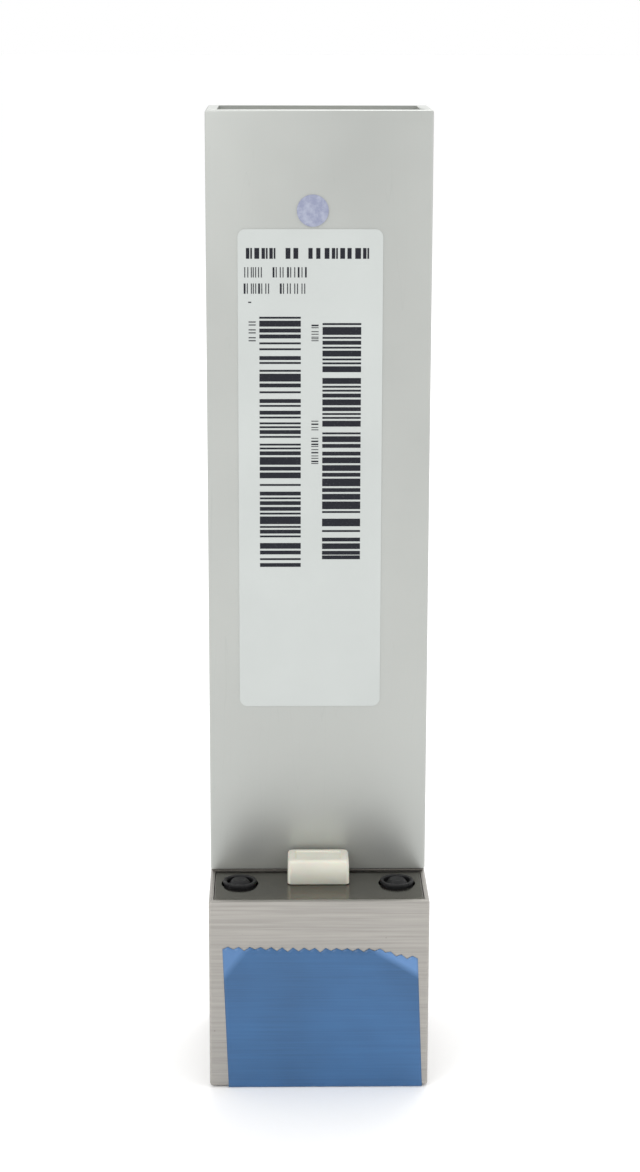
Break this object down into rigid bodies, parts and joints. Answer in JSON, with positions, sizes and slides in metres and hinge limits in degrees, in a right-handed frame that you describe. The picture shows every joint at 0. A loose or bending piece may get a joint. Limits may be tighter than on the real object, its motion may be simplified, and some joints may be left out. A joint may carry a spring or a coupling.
{
  "type": "optical transceiver module",
  "caption": "Pluggable fibre-optic transceiver in a slim metal case with a deeper front block, captive mounting screws, duplex ports under a peelable film and a card-edge connector.",
  "frame": {"origin": "centre of the footprint, on the surface that the module stands on with its port face down", "axes": "+Z along the module's length from the ports to the card edge, -Y out of the label face, +X across the width"},
  "size_m": [0.0286, 0.0256, 0.1255],
  "materials": {
    "brushed_aluminium": "brushed across its width",
    "cast_aluminium": "smooth satin",
    "polished_steel": "polished, nearly a mirror",
    "screw_steel": "plated",
    "black_steel": "black oxide",
    "gold_plate": "gold plated",
    "conductive_elastomer": "matt",
    "cream_plastic": "moulded, slightly translucent",
    "grey_plastic": "moulded",
    "zirconia": "ground",
    "board_green": "solder mask",
    "chip_black": "moulded epoxy",
    "capacitor_case": "moulded epoxy",
    "polyimide": "flexible circuit film",
    "thermal_pad": "soft silicone",
    "label_paper": "coated satin label stock",
    "dot_paper": "printed sticker",
    "blue_film": "translucent adhesive film"
  },
  "bodies": {
    "module_body": {"front_block": "brushed_aluminium", "shoulder_plate": "polished_steel", "guide_key": "cream_plastic", "emi_gasket": "conductive_elastomer", "base_tray": "cast_aluminium", "top_cover": "cast_aluminium", "cover_screw_1": "screw_steel", "cover_screw_2": "screw_steel", "cover_screw_3": "screw_steel", "cover_screw_4": "screw_steel", "left_block_screw": "screw_steel", "right_block_screw": "screw_steel", "lc_receptacle": "grey_plastic", "tx_sleeve": "zirconia", "rx_sleeve": "zirconia", "receptacle_retainer": "screw_steel", "transmitter_package": "gold_plate", "receiver_package": "gold_plate", "tx_flex": "polyimide", "rx_flex": "polyimide", "main_board": "board_green", "board_screw_1": "screw_steel", "board_screw_2": "screw_steel", "board_screw_3": "screw_steel", "board_screw_4": "screw_steel", "signal_processor": "chip_black", "processor_pad": "thermal_pad", "laser_driver": "chip_black", "receiver_amplifier": "chip_black", "controller_chip": "chip_black", "crystal_oscillator": "screw_steel", "power_inductor_1": "chip_black", "power_inductor_2": "chip_black", "bulk_capacitor_1": "capacitor_case", "bulk_capacitor_2": "capacitor_case", "left_ferrule": "black_steel", "right_ferrule": "black_steel", "left_return_spring": "screw_steel", "right_return_spring": "screw_steel", "id_label": "label_paper", "dot_sticker": "dot_paper", "port_tape_front": "blue_film"},
    "left_screw_ring": {"left_retaining_ring": "screw_steel"},
    "left_screw": {"left_captive_screw": "black_steel"},
    "right_screw_ring": {"right_retaining_ring": "screw_steel"},
    "right_screw": {"right_captive_screw": "black_steel"},
    "tape_flap": {"port_tape_flap": "blue_film"}
  },
  "joints": [
    {"name": "left_screw_travel", "type": "slide", "parent": "module_body", "child": "left_screw_ring", "axis": [0, 0, 1], "range_m": [0, 0.004], "stiffness_N_per_m": 150, "springref_m": -0.002, "deforming": ["left_return_spring"]},
    {"name": "left_screw_turn", "type": "hinge", "parent": "left_screw_ring", "child": "left_screw", "pos_m": [-0.0103, -0.00585, 0.0138], "axis": [0, 0, 1], "continuous": true},
    {"name": "right_screw_travel", "type": "slide", "parent": "module_body", "child": "right_screw_ring", "axis": [0, 0, 1], "range_m": [0, 0.004], "stiffness_N_per_m": 150, "springref_m": -0.002, "deforming": ["right_return_spring"]},
    {"name": "right_screw_turn", "type": "hinge", "parent": "right_screw_ring", "child": "right_screw", "pos_m": [0.0103, -0.00585, 0.0138], "axis": [0, 0, 1], "continuous": true},
    {"name": "tape_peel", "type": "hinge", "parent": "module_body", "child": "tape_flap", "pos_m": [0, -0.0128, 0], "axis": [-1, 0, 0], "range_deg": [0, 150]}
  ]
}
